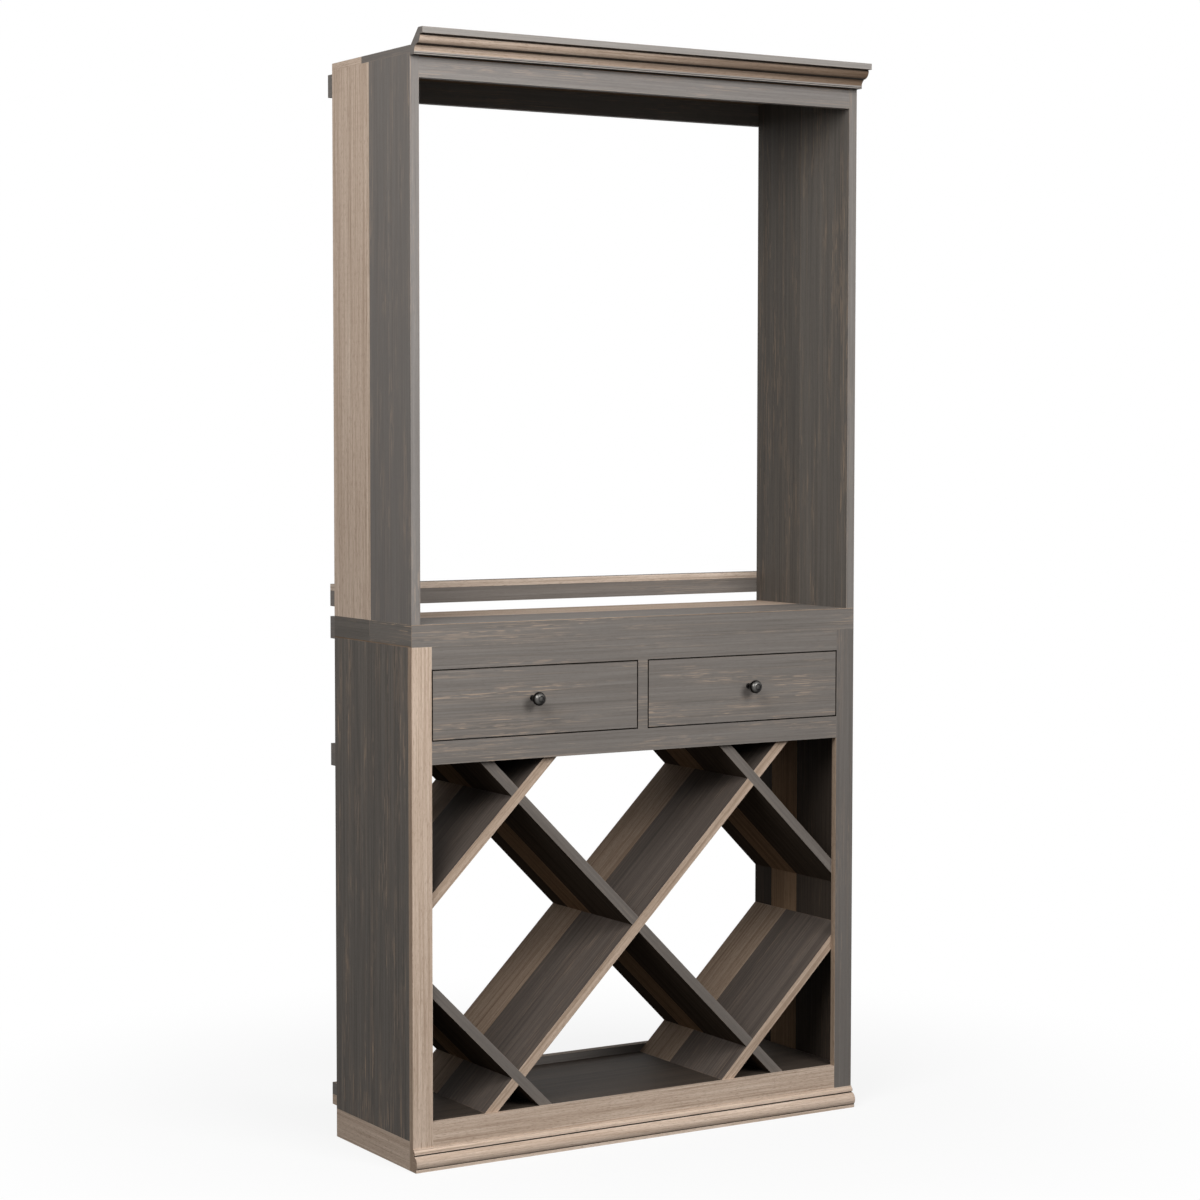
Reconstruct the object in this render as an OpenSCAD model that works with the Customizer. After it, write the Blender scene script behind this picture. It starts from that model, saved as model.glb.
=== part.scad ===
// Tall bar cabinet: an open hutch on a base with two drawers and a diagonal bottle lattice.
// Millimetres, +Z up, the front faces -Y, and the floor is z = 0.

/* [Cabinet] */
// Width over the side panels
cabinet_w = 1111; // [1000:1:1250]
// Depth from the front plane to the back edges of the sides
cabinet_d = 351; // [340:1:420]
// Height of the hutch sides between the counter and the lips of the top boards
hutch_h = 1150; // [900:1:1250]
// Height of the lattice opening
lattice_open_h = 739; // [680:1:800]
// Height of the drawer openings
drawer_open_h = 146.5; // [130:0.5:180]

/* [Boards] */
// Thickness of the side panels
side_t = 20.6; // [18:0.1:25]
// Thickness of the hutch top boards between the sides
top_t = 22; // [20:0.5:26]
// Thickness of the top boards' lips over the sides
top_lip_t = 14.5; // [12:0.5:18]
// Thickness of the counter boards
counter_t = 46; // [40:1:55]
// Thickness of the bottom deck
bottom_deck_t = 18; // [15:1:22]
// Thickness of the deck under the drawers
drawer_deck_t = 15; // [12:1:20]
// Width of the grey front board of a hutch side
hutch_front_w = 181; // [160:1:200]
// Width of the grey front board of the counter
counter_front_w = 187; // [160:1:210]
// Width of the grey front board of the hutch top
top_front_w = 214; // [180:1:230]
// Height of the plinth board under each base side
plinth_h = 61; // [50:1:68]
// Thickness of the tongues that join two boards
tongue_t = 6; // [4:0.5:8]
// Length of the tongues that join two boards
tongue_len = 8; // [5:0.5:10]
// Distance of the hutch top's and the counter's tongues from the cabinet's sides
tongue_stop = 24; // [21:1:40]
// Thickness of the tongue between the hutch top boards
top_tongue_t = 5; // [4:0.5:6]
// Thickness of the tongue between the counter boards
counter_tongue_t = 12; // [8:1:16]
// Depth of the housings that carry the decks
housing = 7; // [5:0.5:9]

/* [Face frame] */
// Thickness of the face frame
frame_t = 14.5; // [12:0.5:18]
// Width of the outer stiles
stile_w = 46.6; // [40:0.1:55]
// Width of the stile between the drawers
mullion_w = 25; // [22:0.5:35]
// Height of the bottom rail
bottom_rail_h = 97; // [90:1:110]
// Height of the rail under the drawers
middle_rail_h = 48; // [42:1:60]
// Height of the rail over the drawers
top_rail_h = 47; // [42:1:60]
// Thickness of the frame tenons
tenon_t = 6; // [4:0.5:7]
// Length of the frame tenons
tenon_len = 15; // [10:1:18]
// Shoulder above and below a tenon
tenon_shoulder = 6; // [4:1:8]

/* [Hutch front] */
// Height of the rail under the hutch top
hutch_rail_h = 40.5; // [36:0.5:60]
// Thickness of the rail under the hutch top
hutch_rail_t = 20; // [15:1:25]

/* [Crown moulding] */
// Height of the crown moulding
crown_h = 51; // [48:1:60]
// How far the crown moulding stands out of the front plane
crown_out = 54; // [50:1:62]
// How far the crown moulding reaches below the hutch top
crown_drop = 20; // [16:1:30]
// How far the lower fillet stands out
crown_foot_out = 18; // [14:0.5:22]
// Height of the lower fillet
crown_foot_h = 6; // [4:0.5:8]
// Width of the cove above the lower fillet
crown_cove_w = 8; // [6:0.5:9]
// Height of the cove
crown_cove_h = 12; // [10:0.5:13]
// Width of the dark quirks between the members
crown_quirk = 1.5; // [1:0.5:2]
// Height of the groove between the cove and the upper round
crown_groove_h = 1; // [0.5:0.5:1.5]
// Radius of the upper round
crown_round_r = 17.5; // [14:0.5:18]
// Height of the top fillet
crown_fillet_h = 13; // [10:0.5:13]
// Thickness of the crown moulding at its top
crown_top_t = 18; // [15:1:22]
// Number of glue blocks behind the crown moulding
block_count = 5; // [3:1:9]
// Length of one glue block
block_len = 60; // [40:1:90]
// Depth of a glue block on the hutch top
block_d = 24; // [18:1:30]
// Height of a glue block
block_h = 22; // [16:1:24]

/* [Base moulding] */
// Height of the base moulding
base_moulding_h = 46.6; // [45:0.1:55]
// Radius of the large round
base_round_r = 15; // [13:0.5:15.5]
// How far the centre of the large round stands out
base_round_out = 2; // [1:0.5:4]
// How far the bottom fillet stands out
base_foot_out = 13.5; // [12:0.5:15]
// Height of the bottom fillet
base_foot_h = 7.5; // [6:0.5:9]
// How far the top bead stands out
base_bead_out = 7; // [6:0.5:9]
// Height of the top bead
base_bead_h = 11.5; // [10:0.5:12]
// Radius of the top bead
base_bead_r = 4; // [3:0.5:5]
// Height of the groove under the top bead
base_groove_h = 2; // [1:0.5:3]

/* [Rear rails] */
// Height of the rear rails
rear_rail_h = 47.4; // [42:0.1:55]
// Thickness of the rear rails
rear_rail_t = 20; // [16:0.5:24]
// Gap between the counter and the gallery rail
gallery_gap = 19.5; // [15:0.5:30]
// How far the counter and deck rails lie below the counter and the drawer deck
rail_drop = 2; // [0:0.5:4]
// How far the foot rail lies above the plinth
foot_rail_rise = 6; // [4:1:10]
// Distance of a rail's screws from its middle
rail_screw_pitch = 12; // [8:1:14]

/* [Lattice] */
// Thickness of the lattice boards
lattice_t = 22; // [18:0.5:26]
// How far past the side panels the outer boards would meet
lattice_past = 59.5; // [50:0.5:80]
// Height of the middle crossing above the lattice floor
lattice_rise = 363; // [340:1:380]
// Play of the halved crossings
lattice_play = 0.2; // [0.1:0.1:0.5]

/* [Drawers] */
// Gap around a drawer front
reveal = 2; // [1.5:0.5:3]
// Thickness of a drawer front
drawer_front_t = 20; // [18:0.5:24]
// Thickness of the drawer sides and back
drawer_side_t = 12; // [10:0.5:15]
// Thickness of the drawer bottom
drawer_bottom_t = 6; // [4:0.5:8]
// Depth of a drawer box behind its front
drawer_box_d = 305; // [302:1:308]
// Gap under a drawer box
drawer_below = 12; // [10:1:16]
// Gap over a drawer box
drawer_above = 24; // [18:1:30]
// Height of the drawer bottom above the lower edge of its sides
drawer_bottom_rise = 8; // [6:1:12]
// Depth of the joints between the drawer boards
drawer_joint = 5; // [4:0.5:6]
// Distance of the drawer back from the rear ends of the sides
drawer_back_inset = 8; // [6:1:12]
// Play of the drawer bottom in its grooves
bottom_play = 0.2; // [0.1:0.1:0.4]

/* [Slides] */
// Width of a drawer slide between the drawer and the cabinet
slide_t = 12.7; // [12.5:0.1:13.5]
// Height of a drawer slide
slide_h = 45; // [40:1:48]
// Length of a drawer slide
slide_len = 300; // [280:1:300]
// Sheet thickness of the slide members
slide_sheet = 1.5; // [1.2:0.1:1.8]
// Running clearance between the slide members
slide_play = 0.4; // [0.3:0.1:0.6]
// Gap between a drawer front and its slides
slide_setback = 3; // [2:0.5:4]
// Height of the slides' middle above the lower edge of the drawer box
slide_rise = 50; // [40:1:54]
// Height of the wooden packings that carry the outer slides
packing_h = 64; // [56:1:70]

/* [Knobs] */
// Diameter of a knob
knob_d = 29; // [26:0.5:32]
// How far a knob stands out of its drawer front
knob_out = 38; // [35:0.5:41]
// Half the depth that a knob's head would have without its flat face
knob_head_r = 11.5; // [10.5:0.5:12.5]
// Diameter of the flat face of a knob
knob_face_d = 14.5; // [12:0.5:16]
// Diameter of a knob's foot
knob_foot_d = 12; // [12:0.5:14]
// Thickness of a knob's foot
knob_foot_t = 2; // [1.5:0.5:3]
// Diameter of a knob's neck
knob_neck_d = 10; // [9:0.5:11]
// Width of the raised ring around a knob's face
knob_ring_w = 1.5; // [1:0.5:2]
// Depth of the dish inside the ring
knob_dish = 0.8; // [0.5:0.1:1]
// Number of steps in the round of a knob's head
knob_steps = 14; // [10:1:20]
// Height of a knob above the middle of its drawer front
knob_rise = 5; // [0:0.5:8]
// Distance of the knobs from the middle of their fronts, away from the centre
knob_shift = 11.5; // [0:0.5:16]

/* [Fasteners] */
// Diameter of the screws
screw_d = 4; // [3.5:0.1:4.5]
// Diameter of a wood screw's tip
screw_tip_d = 1; // [0.5:0.5:2]
// Diameter of the screw heads
screw_head_d = 8; // [7:0.1:9]
// Height of the countersunk heads
screw_head_h = 3; // [2.5:0.1:3.5]
// Depth of the rail screws in the boards
screw_bite = 30; // [20:1:35]
// Depth of the knob screws in the knobs
knob_screw_bite = 14; // [10:1:16]
// Clearance around screws and dowels
fastener_gap = 0.2; // [0.1:0.05:0.3]
// Diameter of the corner dowels
dowel_d = 8; // [6:0.5:9]
// Depth of the dowels in the boards above and below the counter
dowel_bite = 30; // [20:1:40]
// Distance of the dowels from the front plane and from the back edges
dowel_inset = 60; // [50:1:70]
// Width of a screw's cross recess
recess_w = 1; // [0.8:0.1:1.2]
// Length of a screw's cross recess
recess_len = 4; // [3:0.5:5]
// Depth of a screw's cross recess
recess_depth = 1.4; // [1:0.1:1.8]

/* [Hidden] */
$fn = 64;
left = -1;
right = 1;
rising = 1;
falling = -1;
beige = [0.66, 0.59, 0.52];
pale_grey = [0.52, 0.50, 0.48];
grey = [0.46, 0.44, 0.42];
dark_grey = [0.41, 0.39, 0.37];
deep_grey = [0.33, 0.32, 0.31];
plain_wood = [0.70, 0.60, 0.47];
drawer_wood = [0.74, 0.64, 0.52];
knob_black = [0.13, 0.12, 0.12];
steel = [0.68, 0.69, 0.70];
dark_steel = [0.35, 0.34, 0.33];
// How far a cutter reaches past the surface that it opens
over = 1;
// Free depth at the end of a blind joint
blind = 0.5;

// The origin lies under the middle of the whole cabinet, crown and rear rails included.
front_y = crown_out - (crown_out + cabinet_d + rear_rail_t) / 2;
frame_back_y = front_y + frame_t;
back_y = front_y + cabinet_d;
rear_y = back_y + rear_rail_t;

side_out = cabinet_w / 2;
side_in = side_out - side_t;
side_mid = side_out - side_t / 2;
stile_in = side_out - stile_w;

lattice_low_z = bottom_rail_h;
lattice_high_z = lattice_low_z + lattice_open_h;
drawer_low_z = lattice_high_z + middle_rail_h;
drawer_high_z = drawer_low_z + drawer_open_h;
counter_low_z = drawer_high_z + top_rail_h;
counter_high_z = counter_low_z + counter_t;
top_low_z = counter_high_z + hutch_h;
top_high_z = top_low_z + top_lip_t;
top_under_z = top_high_z - top_t;
crown_low_z = top_high_z - crown_drop;
deck_high_z = lattice_high_z + drawer_deck_t;

// Upper edges of the rear rails
foot_rail_z = plinth_h + foot_rail_rise + rear_rail_h;
deck_rail_z = deck_high_z - rail_drop;
counter_rail_z = counter_high_z - rail_drop;
gallery_rail_z = counter_high_z + gallery_gap + rear_rail_h;
rear_rail_edges = [foot_rail_z, deck_rail_z, counter_rail_z, gallery_rail_z, top_under_z];
rail_screws = [
    for (edge = rear_rail_edges)
        for (side = [left, right])
            for (step = [-rail_screw_pitch, rail_screw_pitch])
                [side * side_mid, rear_y, edge - rear_rail_h / 2 + step]
];

// The boards lie at half a right angle, so that they cross squarely.
lattice_slope = 45;
// Distance between parallel lattice boards
lattice_pitch = (side_in + lattice_past) * sin(lattice_slope);
lattice_z = lattice_low_z + lattice_rise;
lattice_mid_y = (frame_back_y + back_y) / 2;
lattice_reach = cabinet_w;

drawer_open_w = (cabinet_w - 2 * stile_w - mullion_w) / 2;
drawer_x = (mullion_w + drawer_open_w) / 2;
drawer_box_w = drawer_open_w - 2 * slide_t;
drawer_front_back_y = front_y + drawer_front_t;
box_end_y = drawer_front_back_y + drawer_box_d;
box_low_z = drawer_low_z + drawer_below;
box_high_z = drawer_high_z - drawer_above;
box_out = drawer_box_w / 2;
box_in = box_out - drawer_side_t;
bottom_low_z = box_low_z + drawer_bottom_rise;
bottom_high_z = bottom_low_z + drawer_bottom_t;
box_back_y = box_end_y - drawer_back_inset;
knob_z = (drawer_low_z + drawer_high_z) / 2 + knob_rise;

slide_z = box_low_z + slide_rise;
slide_low_y = drawer_front_back_y + slide_setback;
slide_high_y = slide_low_y + slide_len;
slide_wall = drawer_open_w / 2;
slide_step = slide_sheet + slide_play;

// A block between two opposite corners
module span(low, high) {
    translate(low) cube(high - low);
}

// The right-hand piece as it is, or its mirror image on the left
module handed(side) {
    if (side == right) children();
    else mirror([1, 0, 0]) children();
}

// Turns what stands on z = 0 so that it points to the front
module facing_front(place) {
    translate(place) rotate([90, 0, 0]) children();
}

// Moves what is drawn about x = 0 to one of the drawers
module at_drawer(side) {
    translate([side * drawer_x, 0, 0]) children();
}

module both_sides() {
    children();
    mirror([1, 0, 0]) children();
}

module cross_recess() {
    for (turn = [0, 90])
        rotate([0, 0, turn])
            translate([-recess_len / 2, -recess_w / 2, -over])
                cube([recess_len, recess_w, recess_depth + over]);
}

// A countersunk wood screw whose head lies on z = 0
module wood_screw() {
    tip_z = rear_rail_t + screw_bite;
    difference() {
        union() {
            cylinder(h = screw_head_h, d1 = screw_head_d, d2 = screw_d);
            cylinder(h = tip_z - screw_d, d = screw_d);
            translate([0, 0, tip_z - screw_d]) cylinder(h = screw_d, d1 = screw_d, d2 = screw_tip_d);
        }
        cross_recess();
    }
}

module wood_screw_bore() {
    bore_d = screw_d + 2 * fastener_gap;
    cylinder(h = rear_rail_t + screw_bite + blind, d = bore_d);
    cylinder(h = screw_head_h, d1 = screw_head_d + 2 * fastener_gap, d2 = bore_d);
    translate([0, 0, -over]) cylinder(h = over, d = screw_head_d + 2 * fastener_gap);
}

// The bores of the rail screws whose height lies between two levels
module rail_screw_bores(low_z, high_z) {
    for (place = rail_screws)
        if (place[2] > low_z && place[2] < high_z)
            facing_front(place) wood_screw_bore();
}

module corner_dowel(gap, extra) {
    for (side = [left, right])
        for (y = [front_y + dowel_inset, back_y - dowel_inset])
            translate([side * side_mid, y, counter_low_z - dowel_bite - extra])
                cylinder(h = counter_t + 2 * (dowel_bite + extra), d = dowel_d + 2 * gap);
}

module corner_dowel_bores() {
    corner_dowel(fastener_gap, blind);
}

// The tenon of the rail under the hutch top, and the mortise that takes it
module hutch_rail_tenon(extra) {
    span([side_in - over, front_y + tenon_shoulder, top_under_z - hutch_rail_h + tenon_shoulder],
         [side_in + housing + extra, front_y + tenon_shoulder + tenon_t, top_under_z - tenon_shoulder]);
}

module hutch_side_front(side) {
    joint_y = front_y + hutch_front_w;
    color(dark_grey)
        handed(side)
            difference() {
                span([side_in, front_y, counter_high_z], [side_out, joint_y, top_low_z]);
                span([side_mid - tongue_t / 2, joint_y - tongue_len - blind, counter_high_z - over],
                     [side_mid + tongue_t / 2, joint_y + over, top_low_z + over]);
                hutch_rail_tenon(blind);
                corner_dowel_bores();
            }
}

module hutch_side_rear(side) {
    joint_y = front_y + hutch_front_w;
    color(beige)
        handed(side)
            difference() {
                union() {
                    span([side_in, joint_y, counter_high_z], [side_out, back_y, top_low_z]);
                    span([side_mid - tongue_t / 2, joint_y - tongue_len, counter_high_z],
                         [side_mid + tongue_t / 2, joint_y + over, top_low_z]);
                }
                corner_dowel_bores();
                rail_screw_bores(counter_high_z, top_low_z);
            }
}

// The stopped tongue between two boards that run the full width, or its groove
module board_tongue(joint_y, mid_z, thickness, extra) {
    reach = side_out - tongue_stop + extra;
    span([-reach, joint_y - tongue_len - extra, mid_z - thickness / 2],
         [reach, joint_y + over, mid_z + thickness / 2]);
}

// A board of the hutch top that lies between the sides and has a lip over each of them
module hutch_top_board(low_y, high_y) {
    span([-side_out, low_y, top_low_z], [side_out, high_y, top_high_z]);
    span([-side_in, low_y, top_under_z], [side_in, high_y, top_high_z]);
}

module hutch_top_front() {
    joint_y = front_y + top_front_w;
    mid_z = (top_low_z + top_high_z) / 2;
    color(grey)
        difference() {
            hutch_top_board(front_y, joint_y);
            board_tongue(joint_y, mid_z, top_tongue_t, blind);
        }
}

module hutch_top_rear() {
    joint_y = front_y + top_front_w;
    mid_z = (top_low_z + top_high_z) / 2;
    color(beige) {
        hutch_top_board(joint_y, back_y);
        board_tongue(joint_y, mid_z, top_tongue_t, 0);
    }
}

module hutch_front_rail() {
    color(pale_grey) {
        span([-side_in, front_y, top_under_z - hutch_rail_h],
             [side_in, front_y + hutch_rail_t, top_under_z]);
        both_sides() hutch_rail_tenon(0);
    }
}

// Outline of the crown: x runs out of the front plane, y runs up
module crown_outline() {
    cove_r = (pow(crown_cove_w, 2) + pow(crown_cove_h, 2)) / (2 * crown_cove_w);
    cove_top = crown_foot_h + crown_cove_h;
    cove_out = crown_foot_out + crown_cove_w;
    round_z = crown_h - crown_fillet_h - crown_quirk;
    // The groove cuts the round short where its radius would reach the cove
    round_low = max(round_z - crown_round_r, cove_top + crown_groove_h);
    back_out = crown_out - crown_top_t;
    difference() {
        union() {
            square([crown_foot_out, crown_foot_h]);
            difference() {
                translate([0, crown_foot_h]) square([cove_out, crown_cove_h]);
                translate([crown_foot_out + cove_r, crown_foot_h]) circle(r = cove_r);
            }
            translate([0, cove_top]) square([cove_out - crown_quirk, round_z - cove_top]);
            intersection() {
                translate([cove_out, round_z]) circle(r = crown_round_r);
                translate([cove_out - crown_quirk, round_low])
                    square([crown_round_r + crown_quirk, round_z - round_low]);
            }
            translate([0, round_z]) square([cove_out + crown_round_r - crown_quirk, crown_quirk]);
            translate([0, crown_h - crown_fillet_h]) square([crown_out, crown_fillet_h]);
        }
        polygon([
            [-over, crown_h - back_out - over],
            [back_out + over, crown_h + over],
            [-over, crown_h + over]
        ]);
    }
}

module crown_moulding() {
    color(beige)
        translate([-side_out, front_y, crown_low_z])
            rotate([90, 0, 90])
                linear_extrude(cabinet_w) mirror([1, 0]) crown_outline();
}

module crown_blocks() {
    back_out = crown_out - crown_top_t;
    // How far the sloping back of the crown stands out at the level of the hutch top
    slope_out = back_out - (crown_h - crown_drop);
    step = (cabinet_w - block_len) / block_count;
    color(plain_wood)
        for (i = [0 : block_count - 1])
            translate([-side_out + (i + 0.5) * step, front_y, top_high_z])
                rotate([90, 0, 90])
                    linear_extrude(block_len)
                        polygon([[-slope_out, 0], [block_d, 0], [-slope_out - block_h, block_h]]);
}

module rear_rail(edge, tone) {
    color(tone)
        difference() {
            span([-side_out, back_y, edge - rear_rail_h], [side_out, rear_y, edge]);
            rail_screw_bores(edge - rear_rail_h, edge);
        }
}

module rear_rail_screws() {
    color(dark_steel)
        for (place = rail_screws)
            facing_front(place) wood_screw();
}

module counter_front() {
    joint_y = front_y + counter_front_w;
    mid_z = (counter_low_z + counter_high_z) / 2;
    color(grey)
        difference() {
            span([-side_out, front_y, counter_low_z], [side_out, joint_y, counter_high_z]);
            board_tongue(joint_y, mid_z, counter_tongue_t, blind);
            corner_dowel_bores();
        }
}

module counter_rear() {
    joint_y = front_y + counter_front_w;
    mid_z = (counter_low_z + counter_high_z) / 2;
    color(beige)
        difference() {
            union() {
                span([-side_out, joint_y, counter_low_z], [side_out, back_y, counter_high_z]);
                board_tongue(joint_y, mid_z, counter_tongue_t, 0);
            }
            corner_dowel_bores();
            rail_screw_bores(counter_low_z, counter_high_z);
        }
}

module corner_dowels() {
    color(plain_wood) corner_dowel(0, 0);
}

// The tongue of a base side, and the groove in its plinth board
module plinth_tongue(extra) {
    span([side_mid - tongue_t / 2, frame_back_y - extra, plinth_h - tongue_len - extra / 2],
         [side_mid + tongue_t / 2, back_y + extra, plinth_h + over]);
}

module base_side(side) {
    color(deep_grey)
        handed(side)
            difference() {
                union() {
                    span([side_in, frame_back_y, plinth_h], [side_out, back_y, counter_low_z]);
                    plinth_tongue(0);
                }
                bottom_deck_board(over);
                drawer_deck_board(over);
                corner_dowel_bores();
                rail_screw_bores(plinth_h, counter_low_z);
            }
}

module plinth(side) {
    color(beige)
        handed(side)
            difference() {
                span([side_in, frame_back_y, 0], [side_out, back_y, plinth_h]);
                plinth_tongue(over);
            }
}

// A horizontal frame rail with a tenon at each end, or the cutter for its mortises
module frame_rail(half_w, low_z, high_z, extra) {
    mid_y = front_y + frame_t / 2;
    span([-half_w, front_y, low_z], [half_w, frame_back_y, high_z]);
    span([-half_w - tenon_len - extra, mid_y - tenon_t / 2, low_z + tenon_shoulder],
         [half_w + tenon_len + extra, mid_y + tenon_t / 2, high_z - tenon_shoulder]);
}

module bottom_rail_shape(extra) {
    frame_rail(stile_in, 0, lattice_low_z, extra);
}

module middle_rail_shape(extra) {
    frame_rail(stile_in, lattice_high_z, drawer_low_z, extra);
}

module top_rail_shape(extra) {
    frame_rail(stile_in, drawer_high_z, counter_low_z, extra);
}

module mullion_shape(extra) {
    mid_y = front_y + frame_t / 2;
    span([-mullion_w / 2, front_y, drawer_low_z], [mullion_w / 2, frame_back_y, drawer_high_z]);
    span([-mullion_w / 2 + tenon_shoulder, mid_y - tenon_t / 2, drawer_low_z - tenon_len - extra],
         [mullion_w / 2 - tenon_shoulder, mid_y + tenon_t / 2, drawer_high_z + tenon_len + extra]);
}

module stile(side, tone) {
    color(tone)
        handed(side)
            difference() {
                span([stile_in, front_y, 0], [side_out, frame_back_y, counter_low_z]);
                bottom_rail_shape(blind);
                middle_rail_shape(blind);
                top_rail_shape(blind);
            }
}

module top_rail() {
    color(grey)
        difference() {
            top_rail_shape(0);
            mullion_shape(blind);
        }
}

module middle_rail() {
    color(grey)
        difference() {
            middle_rail_shape(0);
            mullion_shape(blind);
        }
}

module bottom_rail() {
    color(beige) bottom_rail_shape(0);
}

module mullion() {
    color(grey) mullion_shape(0);
}

// Outline of the base moulding: x runs out of the front plane, y runs up
module base_moulding_outline() {
    bead_low = base_moulding_h - base_bead_h;
    groove_low = bead_low - base_groove_h;
    round_z = groove_low - base_round_r;
    square([base_foot_out, base_foot_h]);
    square([base_round_out, base_moulding_h]);
    intersection() {
        translate([base_round_out, round_z]) circle(r = base_round_r);
        translate([0, base_foot_h]) square([base_round_out + base_round_r, groove_low - base_foot_h]);
    }
    translate([0, groove_low]) square([base_bead_out - base_bead_r, base_bead_h + base_groove_h]);
    translate([0, bead_low]) square([base_bead_out, base_bead_r]);
    intersection() {
        translate([base_bead_out - base_bead_r, bead_low + base_bead_r]) circle(r = base_bead_r);
        translate([base_bead_out - base_bead_r, bead_low + base_bead_r]) square(base_bead_r);
    }
}

module base_moulding() {
    color(beige)
        translate([-side_out, front_y, 0])
            rotate([90, 0, 90])
                linear_extrude(cabinet_w) mirror([1, 0]) base_moulding_outline();
}

// The decks, or with extra the cutters for their housings
module bottom_deck_board(extra) {
    reach = side_in + housing;
    span([-reach, frame_back_y - extra, lattice_low_z - bottom_deck_t],
         [reach, back_y + extra, lattice_low_z]);
}

module drawer_deck_board(extra) {
    reach = side_in + housing;
    span([-reach, frame_back_y - extra, lattice_high_z], [reach, back_y + extra, deck_high_z]);
}

module bottom_deck() {
    color(deep_grey) bottom_deck_board(0);
}

module drawer_deck() {
    color(deep_grey) drawer_deck_board(0);
}

module drawer_divider() {
    color(deep_grey)
        span([-mullion_w / 2, frame_back_y, deck_high_z], [mullion_w / 2, back_y, counter_low_z]);
}

// The front or rear half of the slot that a lattice board has where another one crosses it.
// The slot lies at x = at in the board's own frame.
module lattice_slot(at, offset, front_half) {
    half_w = (lattice_t + lattice_play) / 2;
    low_y = front_half ? frame_back_y - over : lattice_mid_y - lattice_play / 2;
    high_y = front_half ? lattice_mid_y + lattice_play / 2 : back_y + over;
    span([at - half_w, low_y, offset - lattice_t], [at + half_w, high_y, offset + lattice_t]);
}

// A lattice board: turn is rising or falling, row counts pitches from the middle board,
// and each crossing is [position in pitches, true where the slot is in the front half].
module lattice_board(turn, row, crossings, tone) {
    offset = row * lattice_pitch;
    color(tone)
        intersection() {
            span([-side_in, frame_back_y, lattice_low_z], [side_in, back_y, lattice_high_z]);
            translate([0, 0, lattice_z])
                rotate([0, -lattice_slope * turn, 0])
                    difference() {
                        span([-lattice_reach, frame_back_y, offset - lattice_t / 2],
                             [lattice_reach, back_y, offset + lattice_t / 2]);
                        for (crossing = crossings)
                            lattice_slot(crossing[0] * lattice_pitch, offset, crossing[1]);
                    }
        }
}

module slide_packing(side) {
    color(plain_wood)
        handed(side)
            span([stile_in, frame_back_y, slide_z - packing_h / 2],
                 [side_in, slide_high_y, slide_z + packing_h / 2]);
}

// The bottom panel of a drawer, or with play the cutter for its grooves
module drawer_bottom_panel(play) {
    reach = box_in + drawer_joint + play;
    span([-reach, drawer_front_back_y - drawer_joint - play, bottom_low_z - play / 2],
         [reach, box_end_y, bottom_high_z + play / 2]);
}

// The back of a drawer, or with extra the cutter for its housings
module drawer_back_board(extra) {
    reach = box_in + drawer_joint;
    span([-reach, box_back_y - drawer_side_t, bottom_high_z + bottom_play],
         [reach, box_back_y, box_high_z + extra]);
}

// The right-hand side board of a drawer with its tongue in the front
module drawer_side_board() {
    span([box_in, drawer_front_back_y - drawer_joint, box_low_z], [box_out, box_end_y, box_high_z]);
}

module drawer_front(side) {
    half_w = drawer_open_w / 2 - reveal;
    color(grey)
        at_drawer(side)
            difference() {
                span([-half_w, front_y, drawer_low_z + reveal],
                     [half_w, drawer_front_back_y, drawer_high_z - reveal]);
                both_sides() drawer_side_board();
                drawer_bottom_panel(bottom_play);
                facing_front([side * knob_shift, drawer_front_back_y + over, knob_z])
                    cylinder(h = drawer_front_t + 2 * over, d = screw_d + 2 * fastener_gap);
            }
}

module drawer_side(side, end) {
    color(drawer_wood)
        at_drawer(side)
            handed(end)
                difference() {
                    drawer_side_board();
                    drawer_bottom_groove();
                    drawer_back_board(over);
                }
}

// The groove runs out of the rear ends of the sides
module drawer_bottom_groove() {
    drawer_bottom_panel(bottom_play);
    translate([0, over, 0]) drawer_bottom_panel(bottom_play);
}

module drawer_back(side) {
    color(drawer_wood) at_drawer(side) drawer_back_board(0);
}

module drawer_bottom(side) {
    color(drawer_wood) at_drawer(side) drawer_bottom_panel(0);
}

// A turned knob that stands on z = 0, with the bore of its screw
module knob_shape() {
    head_r = knob_d / 2;
    face_r = knob_face_d / 2;
    // How far the head turns from its widest place to the face and to the neck
    face_turn = acos(knob_face_d / knob_d);
    neck_turn = acos(knob_neck_d / knob_d);
    head_z = knob_out - knob_head_r * sin(face_turn);
    difference() {
        rotate_extrude()
            polygon([
                [0, 0],
                [knob_foot_d / 2, 0],
                [knob_foot_d / 2, knob_foot_t],
                [knob_neck_d / 2, knob_foot_t + (knob_foot_d - knob_neck_d) / 2],
                for (i = [0 : knob_steps])
                    let(turn = -neck_turn + i * (neck_turn + face_turn) / knob_steps)
                        [head_r * cos(turn), head_z + knob_head_r * sin(turn)],
                [face_r - knob_ring_w, knob_out],
                [face_r - knob_ring_w - knob_dish, knob_out - knob_dish],
                [0, knob_out - knob_dish / 2]
            ]);
        translate([0, 0, -over])
            cylinder(h = knob_screw_bite + blind + over, d = screw_d + 2 * fastener_gap);
    }
}

module drawer_knob(side) {
    color(knob_black)
        at_drawer(side)
            facing_front([side * knob_shift, front_y, knob_z]) knob_shape();
}

// A pan head screw from inside the drawer into the knob
module knob_screw(side) {
    color(steel)
        at_drawer(side)
            facing_front([side * knob_shift, drawer_front_back_y, knob_z])
                difference() {
                    union() {
                        cylinder(h = drawer_front_t + knob_screw_bite, d = screw_d);
                        translate([0, 0, -screw_head_h]) cylinder(h = screw_head_h, d = screw_head_d);
                    }
                    translate([0, 0, -screw_head_h]) cross_recess();
                }
}

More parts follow.
